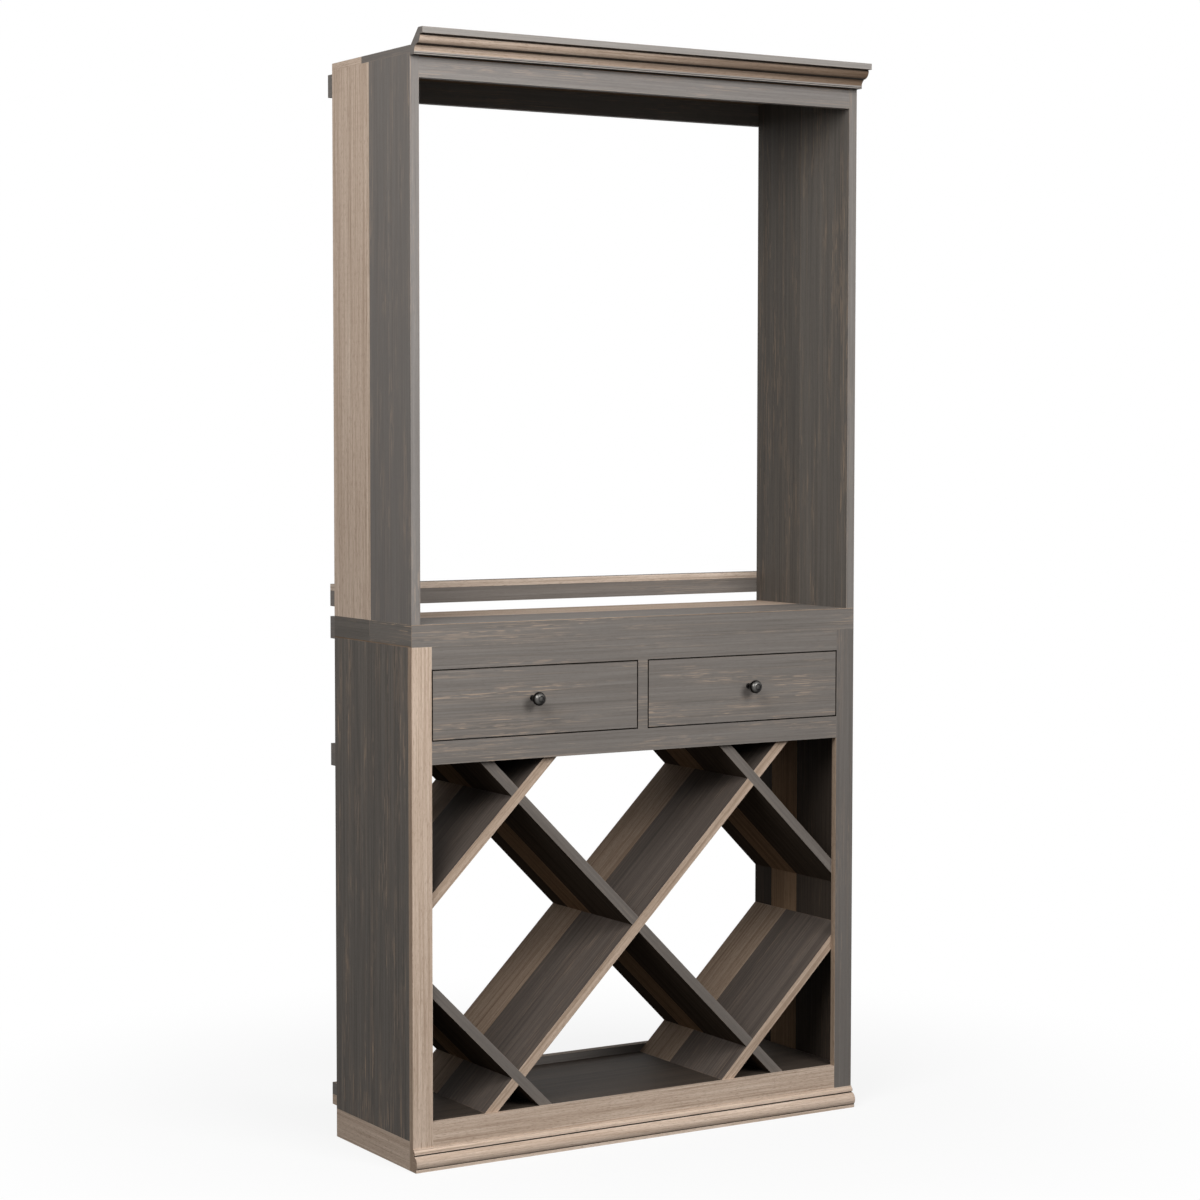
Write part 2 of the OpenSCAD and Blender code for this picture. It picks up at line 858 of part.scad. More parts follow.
// A channel between the planes x = web and x = tip, open at its tip
module channel(web, tip, half_h) {
    inward = sign(tip - web);
    low_x = min(web, tip);
    high_x = max(web, tip);
    difference() {
        span([low_x, slide_low_y, slide_z - half_h], [high_x, slide_high_y, slide_z + half_h]);
        translate([inward * slide_sheet, 0, 0])
            span([low_x, slide_low_y - over, slide_z - half_h + slide_sheet],
                 [high_x, slide_high_y + over, slide_z + half_h - slide_sheet]);
    }
}

module slide_cabinet_member(side) {
    color(steel)
        at_drawer(side)
            both_sides()
                channel(slide_wall, box_out + slide_step, slide_h / 2);
}

module slide_middle_member(side) {
    color(steel)
        at_drawer(side)
            both_sides()
                channel(slide_wall - slide_step, box_out + slide_step, slide_h / 2 - slide_step);
}

module slide_drawer_member(side) {
    color(steel)
        at_drawer(side)
            both_sides()
                channel(box_out, slide_wall - 2 * slide_step, slide_h / 2 - 2 * slide_step);
}

hutch_side_front(left);  // hutch_side_left_front
hutch_side_rear(left);  // hutch_side_left_rear
hutch_side_front(right);  // hutch_side_right_front
hutch_side_rear(right);  // hutch_side_right_rear
hutch_top_front();
hutch_top_rear();
hutch_front_rail();
crown_moulding();
crown_blocks();
rear_rail(top_under_z, grey);  // rear_rail_top
rear_rail(gallery_rail_z, grey);  // rear_rail_gallery
rear_rail(counter_rail_z, grey);  // rear_rail_counter
rear_rail(deck_rail_z, grey);  // rear_rail_deck
rear_rail(foot_rail_z, beige);  // rear_rail_foot
rear_rail_screws();
counter_front();
counter_rear();
corner_dowels();
base_side(left);  // base_side_left
base_side(right);  // base_side_right
plinth(left);  // plinth_left
plinth(right);  // plinth_right
stile(left, beige);  // stile_left
stile(right, grey);  // stile_right
top_rail();
middle_rail();
bottom_rail();
mullion();
base_moulding();
bottom_deck();
drawer_deck();
drawer_divider();
lattice_board(rising, 0, [[-1, true], [0, false], [1, true]], beige);  // lattice_rising_long
lattice_board(rising, 1, [[0, false]], beige);  // lattice_rising_upper
lattice_board(rising, -1, [[0, false]], beige);  // lattice_rising_lower
lattice_board(falling, 0, [[-1, true], [0, true], [1, true]], grey);  // lattice_falling_long
lattice_board(falling, 1, [[0, false]], grey);  // lattice_falling_upper
lattice_board(falling, -1, [[0, false]], grey);  // lattice_falling_lower
slide_packing(left);  // slide_packing_left
slide_packing(right);  // slide_packing_right
drawer_front(left);  // left_drawer_front
drawer_side(left, left);  // left_drawer_outer_side
drawer_side(left, right);  // left_drawer_inner_side
drawer_back(left);  // left_drawer_back
drawer_bottom(left);  // left_drawer_bottom
drawer_knob(left);  // left_drawer_knob
knob_screw(left);  // left_drawer_knob_screw
slide_cabinet_member(left);  // left_slide_cabinet
slide_middle_member(left);  // left_slide_middle
slide_drawer_member(left);  // left_slide_drawer
drawer_front(right);  // right_drawer_front
drawer_side(right, right);  // right_drawer_outer_side
drawer_side(right, left);  // right_drawer_inner_side
drawer_back(right);  // right_drawer_back
drawer_bottom(right);  // right_drawer_bottom
drawer_knob(right);  // right_drawer_knob
knob_screw(right);  // right_drawer_knob_screw
slide_cabinet_member(right);  // right_slide_cabinet
slide_middle_member(right);  // right_slide_middle
slide_drawer_member(right);  // right_slide_drawer
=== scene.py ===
"""The looks of the bar cabinet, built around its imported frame."""

import math

import bpy
from mathutils import Matrix, Vector


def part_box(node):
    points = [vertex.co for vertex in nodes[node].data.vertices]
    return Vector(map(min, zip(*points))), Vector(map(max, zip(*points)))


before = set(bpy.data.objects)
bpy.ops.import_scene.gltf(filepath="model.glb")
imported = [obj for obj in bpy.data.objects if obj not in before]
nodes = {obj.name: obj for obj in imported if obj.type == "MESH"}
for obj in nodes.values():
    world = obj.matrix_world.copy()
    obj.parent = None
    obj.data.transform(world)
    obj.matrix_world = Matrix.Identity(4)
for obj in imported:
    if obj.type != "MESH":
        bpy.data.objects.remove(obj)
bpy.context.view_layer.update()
scene = bpy.context.scene

X_AXIS = (1, 0, 0)
Y_AXIS = (0, 1, 0)
Z_AXIS = (0, 0, 1)
WHITE = (1, 1, 1, 1)

# camera

CAMERA_AT = (-3.24451, -5.27836, 1.51881)
CAMERA_YAW = 0.549723
CAMERA_PITCH = -0.059487
CAMERA_ROLL = 0.000945
CAMERA_LENS = 85.663
CAMERA_SENSOR = 36.0
CAMERA_CLIP = (0.1, 100)


def make_camera():
    data = bpy.data.cameras.new("camera")
    data.sensor_width = CAMERA_SENSOR
    data.lens = CAMERA_LENS
    data.clip_start, data.clip_end = CAMERA_CLIP
    cam = bpy.data.objects.new("camera", data)
    scene.collection.objects.link(cam)
    forward = Vector((
        math.sin(CAMERA_YAW) * math.cos(CAMERA_PITCH),
        math.cos(CAMERA_YAW) * math.cos(CAMERA_PITCH),
        math.sin(CAMERA_PITCH),
    ))
    turn = forward.to_track_quat("-Z", "Y").to_matrix().to_4x4()
    roll = Matrix.Rotation(CAMERA_ROLL, 4, "Z")
    cam.matrix_world = Matrix.Translation(CAMERA_AT) @ turn @ roll
    scene.camera = cam


# node graphs


class Graph:
    """The emptied node tree of a material or a world, with short calls for what it needs."""

    def __init__(self, owner):
        owner.use_nodes = True
        self.tree = owner.node_tree
        self.tree.nodes.clear()

    def add(self, kind, *values, **settings):
        """A new node with these settings, its first inputs fed in order."""
        made = self.tree.nodes.new(kind)
        for key, value in settings.items():
            setattr(made, key, value)
        for socket, value in zip(made.inputs, values):
            self.feed(socket, value)
        return made

    def feed(self, socket, value):
        """Links another socket to this one, or sets a constant on it."""
        if isinstance(value, bpy.types.NodeSocket):
            self.tree.links.new(value, socket)
        else:
            socket.default_value = value

    def math(self, operation, *values):
        return self.add("ShaderNodeMath", *values, operation=operation).outputs[0]

    def dot(self, vector, axis):
        made = self.add("ShaderNodeVectorMath", vector, axis, operation="DOT_PRODUCT")
        return made.outputs["Value"]

    def length(self, vector):
        return self.add("ShaderNodeVectorMath", vector, operation="LENGTH").outputs["Value"]

    def combine(self, x, y, z):
        return self.add("ShaderNodeCombineXYZ", x, y, z).outputs[0]

    def scaled(self, vector, scale, shift=(0, 0, 0)):
        made = self.add("ShaderNodeVectorMath", vector, scale, shift, operation="MULTIPLY_ADD")
        return made.outputs[0]

    def noise(self, vector, detail, roughness=0.5):
        made = self.add("ShaderNodeTexNoise")
        self.feed(made.inputs["Vector"], vector)
        self.feed(made.inputs["Scale"], 1.0)
        self.feed(made.inputs["Detail"], detail)
        self.feed(made.inputs["Roughness"], roughness)
        return made.outputs["Fac"]

    def fit(self, value, span, to_low=0.0, to_high=1.0, smooth=False):
        """Maps the span, given as its two ends, to another one and stops at its ends."""
        kind = "SMOOTHSTEP" if smooth else "LINEAR"
        return self.add(
            "ShaderNodeMapRange", value, *span, to_low, to_high, interpolation_type=kind
        ).outputs["Result"]

    def mix(self, share, a, b):
        made = self.add("ShaderNodeMix", data_type="RGBA")
        sockets = {s.identifier: s for s in [*made.inputs, *made.outputs]}
        self.feed(sockets["Factor_Float"], share)
        self.feed(sockets["A_Color"], a)
        self.feed(sockets["B_Color"], b)
        return sockets["Result_Color"]

    def seen(self):
        """1 on rays from the camera, also those that a gloss or something clear sends on."""
        path = self.add("ShaderNodeLightPath")
        seen = self.math("MAXIMUM", path.outputs["Is Camera Ray"], path.outputs["Is Glossy Ray"])
        return self.math("MAXIMUM", seen, path.outputs["Is Transmission Ray"])

    def end(self, kind, shader):
        """Feeds the shader to an output node of this kind."""
        self.feed(self.add(kind).inputs["Surface"], shader)

    def end_mixed(self, kind, share, a, b):
        """Ends in a mix of two shader nodes, with this share of the second."""
        both = self.add("ShaderNodeMixShader", share, a.outputs[0], b.outputs[0])
        self.end(kind, both.outputs[0])


class MaterialGraph(Graph):
    """The graph of a new material."""

    def __init__(self, name):
        self.material = bpy.data.materials.new(name)
        super().__init__(self.material)
        self.position = self.add("ShaderNodeTexCoord").outputs["Object"]

    def finish(self, colour, roughness, height, bump, constants):
        """Ends in a Principled shader. The bump is its strength and its depth in metres."""
        shader = self.add("ShaderNodeBsdfPrincipled")
        self.feed(shader.inputs["Base Color"], colour)
        self.feed(shader.inputs["Roughness"], roughness)
        for name, value in constants.items():
            self.feed(shader.inputs[name], value)
        relief = self.add("ShaderNodeBump")
        strength, distance = bump
        self.feed(relief.inputs["Strength"], strength)
        self.feed(relief.inputs["Distance"], distance)
        self.feed(relief.inputs["Height"], height)
        self.feed(shader.inputs["Normal"], relief.outputs[0])
        self.end("ShaderNodeOutputMaterial", shader.outputs[0])
        return self.material


# places, read from the frame

front_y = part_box("stile_left")[0][1]
frame_back_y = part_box("bottom_deck")[0][1]
side_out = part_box("counter_front")[1][0]
side_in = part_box("bottom_deck")[1][0]
stile_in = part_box("stile_right")[0][0]
side_mid = (side_in + side_out) / 2
crown_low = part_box("crown_moulding")[0][2]
drawers_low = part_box("middle_rail")[1][2]
drawers_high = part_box("top_rail")[0][2]
lattice_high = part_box("middle_rail")[0][2]
counter_low, counter_high = (corner[2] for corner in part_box("counter_front"))
gallery_low, gallery_high = (corner[2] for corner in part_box("rear_rail_gallery"))
foot_low, foot_high = (corner[2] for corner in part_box("rear_rail_foot"))

# colours


def linear(r, g, b):
    """A colour given as 8-bit sRGB numbers, as scene-linear values."""
    def one(v):
        v /= 255
        return v / 12.92 if v <= 0.04045 else ((v + 0.055) / 1.055) ** 2.4
    return (one(r), one(g), one(b), 1.0)


# How even a stain is, then how strongly its lines and its pores show.
EVEN = (0.7, 0.5, 0.35)
EVEN_LINED = (0.7, 0.6, 0.35)
SOFT = (0.6, 0.5, 0.35)
LINED = (0.5, 0.7, 0.35)
RUGGED = (0.5, 0.75, 0.45)
WARM = (0.5, 0.8, 0.6)
PALE = (0.5, 0.9, 0.7)
OPEN_PORED = (0.5, 0.9, 0.8)


def stain(dark, body, light, bare, figure=EVEN):
    """The colours of a stained wood, the last one where it is worn bare, and its figure."""
    return {
        "dark": linear(*dark), "body": linear(*body), "light": linear(*light),
        "bare": linear(*bare), "calm": figure[0], "lines": figure[1], "pores": figure[2],
    }


TONES = {
    "silver_grey": stain((122, 117, 113), (147, 142, 137), (160, 155, 150), (188, 172, 158)),
    "pale_grey": stain((106, 101, 98), (129, 124, 120), (144, 139, 135), (172, 154, 138)),
    "edge_grey": stain((103, 98, 94), (126, 121, 116), (139, 134, 129), (170, 150, 133)),
    "grey": stain((93, 88, 83), (118, 112, 107), (133, 128, 123), (168, 149, 132), EVEN_LINED),
    "dark_grey": stain((90, 85, 81), (107, 102, 98), (121, 116, 111), (152, 134, 119)),
    "cut_grey": stain((81, 76, 71), (102, 97, 92), (115, 109, 103), (168, 145, 124), SOFT),
    "deep_grey": stain((62, 57, 53), (92, 87, 82), (110, 103, 96), (156, 134, 115), RUGGED),
    "inner_pale": stain((76, 71, 66), (103, 98, 93), (117, 111, 104), (164, 141, 119), SOFT),
    "inner_grey": stain((66, 61, 57), (92, 87, 82), (107, 101, 94), (156, 133, 111), SOFT),
    # Also the painted shade in the crown's quirks and in the base moulding's grooves.
    "inner_brown": stain((42, 36, 31), (60, 52, 46), (76, 67, 59), (112, 93, 76), LINED),
    "inner_dark": stain((56, 48, 41), (77, 67, 58), (93, 82, 71), (124, 104, 86), LINED),
    "board_brown": stain((68, 61, 57), (92, 83, 77), (109, 99, 91), (142, 122, 105), LINED),
    "taupe": stain((88, 82, 77), (114, 108, 103), (129, 122, 116), (158, 141, 126), SOFT),
    "beige": stain((144, 122, 103), (197, 175, 157), (212, 193, 176), (220, 203, 186), OPEN_PORED),
    "sand": stain((152, 134, 118), (200, 182, 167), (214, 198, 183), (221, 206, 192), OPEN_PORED),
    "pale_beige": stain((154, 131, 112), (202, 180, 161), (216, 197, 180), (223, 206, 189), PALE),
    "cream": stain((160, 137, 118), (212, 190, 171), (224, 205, 188), (230, 213, 197), PALE),
    "light_tan": stain((134, 113, 95), (184, 162, 143), (199, 178, 159), (208, 190, 171), PALE),
    "tan": stain((116, 95, 78), (162, 140, 121), (180, 159, 139), (192, 172, 152), PALE),
    # Painted shade: the crown's darkening and the line along the foot of the counter's ends.
    "brown": stain((80, 63, 49), (116, 96, 78), (135, 114, 95), (153, 132, 112), WARM),
    "dark_brown": stain((68, 52, 37), (94, 74, 54), (110, 88, 68), (128, 105, 84), WARM),
    "band_brown": stain((108, 86, 66), (146, 118, 92), (163, 136, 110), (180, 155, 129), WARM),
    # Dark glue lines, and painted shade on the crown and on the edges of the drawers' fronts.
    "groove": stain((30, 25, 21), (42, 36, 31), (54, 47, 41), (84, 74, 66)),
    # Painted shade in the gaps round the drawers.
    "gap": stain((14, 11, 9), (22, 18, 15), (32, 27, 23), (52, 45, 39)),
    "raw": stain((162, 130, 95), (196, 163, 124), (210, 179, 140), (220, 194, 158), WARM),
    "box": stain((172, 142, 106), (205, 175, 136), (218, 190, 154), (226, 203, 170), WARM),
}

# The knob's black, and the paler colour of its rubbed dome and its painted highlight.
KNOB_BLACK = linear(24, 23, 23)
KNOB_RUB_AND_HIGHLIGHT = linear(106, 104, 101)
# The lighter and the darker colour of each steel.
ZINC = (linear(196, 198, 200), linear(168, 172, 176))
PHOSPHATED = (linear(70, 68, 66), linear(48, 46, 45))

# zones of a board

# A limit past every face of the cabinet.
FAR = 9.0


def zone(tone, x=None, y=None, z=None, ends=None, seam=False, fade=0.0):
    """A part of a node with another tone, between limits in metres along some of the axes.

    Limits given as ends count from the middle of the cabinet to both sides. A seam is a glue
    line between two planks, whose grain then differs. A fade lets the tone come in over that
    width.
    """
    return {
        "tone": tone, "limits": ((x, X_AXIS), (y, Y_AXIS), (z, Z_AXIS)), "ends": ends,
        "seam": seam, "fade": fade,
    }


def depth_inside(g, part):
    """How far a point lies inside the zone's limits, negative outside them."""
    spans = [(limits, g.dot(g.position, axis)) for limits, axis in part["limits"] if limits]
    if part["ends"]:
        spans.append((part["ends"], g.math("ABSOLUTE", g.dot(g.position, X_AXIS))))
    depth = None
    for (low, high), place in spans:
        off_middle = g.math("ABSOLUTE", g.math("SUBTRACT", place, (low + high) / 2))
        here = g.math("SUBTRACT", (high - low) / 2, off_middle)
        depth = here if depth is None else g.math("MINIMUM", depth, here)
    return depth


# wood

DIAGONAL = math.sqrt(0.5)
# Grain direction, then the two directions across it.
ALONG_X = (X_AXIS, Z_AXIS, Y_AXIS)
ALONG_Y = (Y_AXIS, Z_AXIS, X_AXIS)
ALONG_Z = (Z_AXIS, X_AXIS, Y_AXIS)
RISING = ((DIAGONAL, 0, DIAGONAL), (-DIAGONAL, 0, DIAGONAL), Y_AXIS)
FALLING = ((DIAGONAL, 0, -DIAGONAL), (DIAGONAL, 0, DIAGONAL), Y_AXIS)

# How often each noise changes per metre along and across the grain, its detail and roughness.
DRIFT = (0.9, 5.0, 2.0, 0.5)
FIGURE = (0.9, 70.0, 4.0, 0.62)
LINES = (3.2, 250.0, 4.0, 0.68)
PORES = (70.0, 1300.0, 2.0, 0.6)
THREADS = (3.5, 620.0, 2.0, 0.6)
BREAKS = (24.0, 240.0, 2.0, 0.5)
STREAKS = (2.4, 330.0, 2.0, 0.6)
PLACES = (3.4, 30.0, 2.0, 0.55)

# Where in its range each noise takes effect.
FIGURE_SPAN = (0.3, 0.7)
LIGHT_LINES = (0.52, 0.68)
DARK_LINES = (0.47, 0.33)
DARK_PORES = (0.56, 0.64)
DASH_THREADS = (0.5, 0.58)
DASH_BREAKS = (0.47, 0.58)
DASH_PLACES = (0.48, 0.6)
WORN_STREAKS = (0.57, 0.68)
STREAK_PLACES = (0.42, 0.6)
SMOOTH_TO_ROUGH = (0.2, 0.8)
SUNK_PORES = (0.5, 0.7)

# How strong each effect is.
DARK_LINE_SHARE = 0.8
STREAK_SHARE = (0.1, 0.6)
FACE_WEAR = 0.8
FIGURE_RELIEF = 0.5
PORE_RELIEF = 0.6
WOOD_ROUGHNESS = (0.56, 0.7)
WOOD_BUMP = (0.3, 0.0003)

# In metres: how wide the lines drift, and how far along the grain the pattern of a next
# plank starts.
DRIFT_WIDTH = 0.0025
PLANK_STEP = 3.7
NOISE_MEAN = 0.5
# How far a seed of 1 moves each noise, in its own steps.
SEED_SHIFT = (3.17, 5.71, 2.39)

# Where a glue line ends, from its middle. It is darkest within a third of that.
SEAM_HALF = 0.0005
SEAM_SHARE = 0.6

# How far the tone of one face reaches into the board, past its rounded arris.
LIP = 0.0006

# The wear along sharp edges: how far it reaches in metres, over which cosines of the turn
# it comes in, and the noise that breaks it up.
EDGE_RADIUS = 0.0018
EDGE_SAMPLES = 4
EDGE_TURN = (0.995, 0.9)
EDGE_NOISE_SCALE = (26.0, 26.0, 26.0)
EDGE_NOISE_DETAIL = 3.0
EDGE_RUBBED = (0.38, 0.6)

# How worn the sharp edges of a board are, and how much its surface shines.
ARRIS_WORN = 0.6
COUNTER_ARRIS_WORN = 1.0
DRAWER_ARRIS_WORN = 0.15
SHEEN = 0.12
DULL_SHEEN = 0.04
RISING_SHEEN = 0.05
FALLING_SHEEN = 0.0


def toned(g, name, figure, lines, pores, worn):
    """The colour of a tone over its noises, and where it is worn bare."""
    tone = TONES[name]
    colour = g.mix(g.fit(figure, FIGURE_SPAN), tone["dark"], tone["light"])
    colour = g.mix(tone["calm"], colour, tone["body"])
    colour = g.mix(g.fit(lines, LIGHT_LINES, 0.0, tone["lines"]), colour, tone["light"])
    dark_share = DARK_LINE_SHARE * tone["lines"]
    colour = g.mix(g.fit(lines, DARK_LINES, 0.0, dark_share), colour, tone["dark"])
    colour = g.mix(g.fit(pores, DARK_PORES, 0.0, tone["pores"]), colour, tone["dark"])
    return g.mix(worn, colour, tone["bare"])


def arris_wear(g, shift):
    """1 along the sharp edges, broken up by noise."""
    bevel = g.add("ShaderNodeBevel", EDGE_RADIUS, samples=EDGE_SAMPLES)
    geometry = g.add("ShaderNodeNewGeometry")
    turned = g.dot(bevel.outputs[0], geometry.outputs["True Normal"])
    rubbed = g.noise(g.scaled(g.position, EDGE_NOISE_SCALE, shift), EDGE_NOISE_DETAIL)
    return g.math("MULTIPLY", g.fit(turned, EDGE_TURN), g.fit(rubbed, EDGE_RUBBED))


def face_wear(g, threads, breaks, streaks, places):
    """Short worn dashes and longer streaks, in some places of a face more than in others."""
    dashes = g.math("MULTIPLY", g.fit(threads, DASH_THREADS), g.fit(breaks, DASH_BREAKS))
    dashes = g.math("MULTIPLY", dashes, g.fit(places, DASH_PLACES))
    share = g.fit(places, STREAK_PLACES, *STREAK_SHARE)
    return g.math("MAXIMUM", dashes, g.math("MULTIPLY", g.fit(streaks, WORN_STREAKS), share))


def grain_axes(g, axes):
    """The place of a point along the grain and in the two directions across it."""
    along, up, deep = (g.dot(g.position, axis) for axis in axes)
    if axes is ALONG_X:
        # On the cabinet's ends the lines run from front to back.
        at_end = g.math("GREATER_THAN", g.math("ABSOLUTE", along), side_out - LIP)
        turn = g.math("MULTIPLY", at_end, g.math("SUBTRACT", deep, along))
        along = g.math("ADD", along, turn)
        deep = g.math("SUBTRACT", deep, turn)
    return along, up, deep


def plank_number(g, zones, depths):
    """0 on the main plank, and the number of the zone on a plank behind a seam."""
    plank = 0.0
    for number, (part, depth) in enumerate(zip(zones, depths), 1):
        if part["seam"]:
            within = g.math("GREATER_THAN", depth, 0.0)
            plank = g.math("MAXIMUM", plank, g.math("MULTIPLY", within, float(number)))
    return plank


def board(axes, tone, wear, zones=(), arris=ARRIS_WORN, sheen=SHEEN):
    """The finish of a board: grain, tone, how worn its faces are, zones, sharp edges, shine."""
    return {
        "axes": axes, "tone": tone, "wear": wear, "zones": zones, "arris": arris, "sheen": sheen,
    }


def wood(name, finish, seed):
    """Stained wood with zones of other tones."""
    g = MaterialGraph(name)
    shift = tuple(seed * step for step in SEED_SHIFT)

    def noise(vector, kind):
        per_along, per_across, detail, roughness = kind
        scale = (per_along, per_across, per_across)
        return g.noise(g.scaled(vector, scale, shift), detail, roughness)

    zones = finish["zones"]
    depths = [depth_inside(g, part) for part in zones]
    plank = plank_number(g, zones, depths)
    along, up, deep = grain_axes(g, finish["axes"])
    along = g.math("ADD", along, g.math("MULTIPLY", plank, PLANK_STEP))
    straight = g.combine(along, up, deep)
    drift = g.math("SUBTRACT", noise(straight, DRIFT), NOISE_MEAN)
    up = g.math("ADD", up, g.math("MULTIPLY", drift, DRIFT_WIDTH))
    grain = g.combine(along, up, deep)

    figure, lines, pores = (noise(grain, kind) for kind in (FIGURE, LINES, PORES))
    threads, breaks, streaks = (noise(grain, kind) for kind in (THREADS, BREAKS, STREAKS))
    places = noise(straight, PLACES)

    worn = face_wear(g, threads, breaks, streaks, places)
    worn = g.math("MULTIPLY", worn, FACE_WEAR * finish["wear"])
    edges = g.math("MULTIPLY", arris_wear(g, shift), finish["arris"])
    worn = g.math("MAXIMUM", worn, edges)

    colour = toned(g, finish["tone"], figure, lines, pores, worn)
    for part, depth in zip(zones, depths):
        if part["fade"]:
            share = g.fit(depth, (0.0, part["fade"]))
        else:
            share = g.math("GREATER_THAN", depth, 0.0)
        colour = g.mix(share, colour, toned(g, part["tone"], figure, lines, pores, worn))
        if part["seam"]:
            off_seam = g.math("ABSOLUTE", depth)
            line = g.fit(off_seam, (SEAM_HALF / 3, SEAM_HALF), SEAM_SHARE, 0.0)
            colour = g.mix(line, colour, TONES["groove"]["dark"])

    roughness = g.fit(lines, SMOOTH_TO_ROUGH, *WOOD_ROUGHNESS)
    sunk = g.fit(pores, SUNK_PORES, 0.0, PORE_RELIEF)
    height = g.math("SUBTRACT", g.math("MULTIPLY", figure, FIGURE_RELIEF), sunk)
    constants = {"Specular IOR Level": finish["sheen"]}
    return g.finish(colour, roughness, height, WOOD_BUMP, constants)


# metals

METAL = {"Metallic": 1.0}
CLOUD_DETAIL = 3.0
FINE_DETAIL = 2.0

KNOB_CLOUD_SCALE = (90.0, 90.0, 90.0)
KNOB_CLOUD_SPAN = (0.3, 0.7)
KNOB_CLOUD_SHARE = 0.75
KNOB_FINE_SCALE = (900.0, 900.0, 900.0)
KNOB_FINE_SPAN = (0.3, 0.7)
KNOB_ROUGHNESS = (0.26, 0.36)
KNOB_BUMP = (0.1, 0.0002)
# From the front of a knob to its neck, which stays black.
KNOB_HEAD_DEPTH = 0.014
# As shares of the knob's radius: where its rim turns away, its ring, and the ring's slope.
KNOB_RIM = (0.98, 0.74)
KNOB_RING = 0.4
KNOB_RING_SLOPE = (0.03, 0.1)
KNOB_RING_SHARE = 0.15
# A painted highlight makes the upper left palest. In metres above the middle, less the metres
# right of it.
KNOB_HIGHLIGHT_SIDE = (-0.008, 0.011)
KNOB_LOWER_SHARE = 0.08

STEEL_ALONG = 12.0
STEEL_ACROSS = 900.0
STEEL_LINE_SPAN = (0.2, 0.8)
STEEL_ROUGHNESS = (0.28, 0.46)
STEEL_BUMP = (0.15, 0.0001)
STEEL_CLOUD_SCALE = (40.0, 40.0, 40.0)
STEEL_CLOUD_SPAN = (0.35, 0.7)


def dark_metal(name, low, high):
    """Blackened metal, paler on the dome and the ring of a knob between two corners, partly rubbed
    and partly a painted highlight, which is brightest at the upper left.
    """
    g = MaterialGraph(name)
    cloud = g.noise(g.scaled(g.position, KNOB_CLOUD_SCALE), CLOUD_DETAIL)
    fine = g.noise(g.scaled(g.position, KNOB_FINE_SCALE), FINE_DETAIL)
    off_x = g.math("SUBTRACT", g.dot(g.position, X_AXIS), (low[0] + high[0]) / 2)
    off_z = g.math("SUBTRACT", g.dot(g.position, Z_AXIS), (low[2] + high[2]) / 2)
    off_axis = g.length(g.combine(off_x, 0.0, off_z))
    reach = g.math("DIVIDE", off_axis, (high[0] - low[0]) / 2)
    in_front = g.math("LESS_THAN", g.dot(g.position, Y_AXIS), low[1] + KNOB_HEAD_DEPTH)
    off_ring = g.math("ABSOLUTE", g.math("SUBTRACT", reach, KNOB_RING))
    ring = g.fit(off_ring, KNOB_RING_SLOPE, KNOB_RING_SHARE, 1.0)
    dome = g.math("MULTIPLY", g.fit(reach, KNOB_RIM), ring)
    # Painted highlight: the paler dome is palest at the upper left.
    above = g.fit(g.math("SUBTRACT", off_z, off_x), KNOB_HIGHLIGHT_SIDE, KNOB_LOWER_SHARE, 1.0)
    # Where the knob is paler: partly rubbed, partly painted highlight.
    rubbed = g.math("MULTIPLY", g.math("MULTIPLY", dome, in_front), above)
    clouded = g.fit(cloud, KNOB_CLOUD_SPAN, KNOB_CLOUD_SHARE, 1.0)
    colour = g.mix(g.math("MULTIPLY", rubbed, clouded), KNOB_BLACK, KNOB_RUB_AND_HIGHLIGHT)
    roughness = g.fit(fine, KNOB_FINE_SPAN, *KNOB_ROUGHNESS)
    return g.finish(colour, roughness, fine, KNOB_BUMP, METAL)


def steel(name, colours, axes):
    """Brushed steel between two colours, with its lines along axes[0]."""
    g = MaterialGraph(name)
    scales = (STEEL_ALONG, STEEL_ACROSS, STEEL_ACROSS)
    brushed = g.combine(*(
        g.math("MULTIPLY", g.dot(g.position, axis), scale) for axis, scale in zip(axes, scales)
    ))
    lines = g.noise(brushed, FINE_DETAIL)
    cloud = g.noise(g.scaled(g.position, STEEL_CLOUD_SCALE), CLOUD_DETAIL)
    colour = g.mix(g.fit(cloud, STEEL_CLOUD_SPAN), *colours)
    roughness = g.fit(lines, STEEL_LINE_SPAN, *STEEL_ROUGHNESS)
    return g.finish(colour, roughness, lines, STEEL_BUMP, METAL)


# finishes of the nodes

# Behind the front of the face frame: the band of the right side and the falling boards, and
# where the rear band of the rising boards starts.
SIDE_BAND = (0.185, 0.285)
REAR_BAND = 0.225
# Above the lower edge of their rail.
GALLERY_SEAM = 0.033
FOOT_SEAM = 0.022
# The counter's bare top edge, and the brown line of painted shade along the foot of its cut ends.
COUNTER_EDGE_DEPTH = 0.002
COUNTER_EDGE_HEIGHT = 0.0012
COUNTER_END_SHADE = 0.0022
# The rim of painted shade round a drawer's front, how deep the tone of its face goes, and how
# far back the painted shade on its edges reaches.
RIM = 0.0005
FACE_LIP = 0.0001
DRAWER_SHADE_DEPTH = 0.0195
# Painted shade: the crown darkens to the right, apart from its members, which go by height
# above its lower edge.
CROWN_SHADE_FROM = -0.35
CROWN_SHADE_WIDTH = 0.95
CROWN_MEMBERS = (
    ("silver_grey", 0.0, 0.0065),
    # Painted shade: a dark line on the foot fillet, and the crown's underside.
    ("groove", 0.0024, 0.0036),
    ("groove", -FAR, LIP),
    # Painted shade in the two quirks.
    ("inner_brown", 0.0174, 0.0208),
    ("inner_brown", 0.035, 0.0385),
    ("silver_grey", 0.0385, FAR),
)
# By height, the painted shade in the two grooves of the base moulding.
BASE_GROOVE_SHADE = ((0.0325, 0.0355), (0.0066, 0.0084))

FIRST_SEED = 1.0
SEED_STEP = 1.37

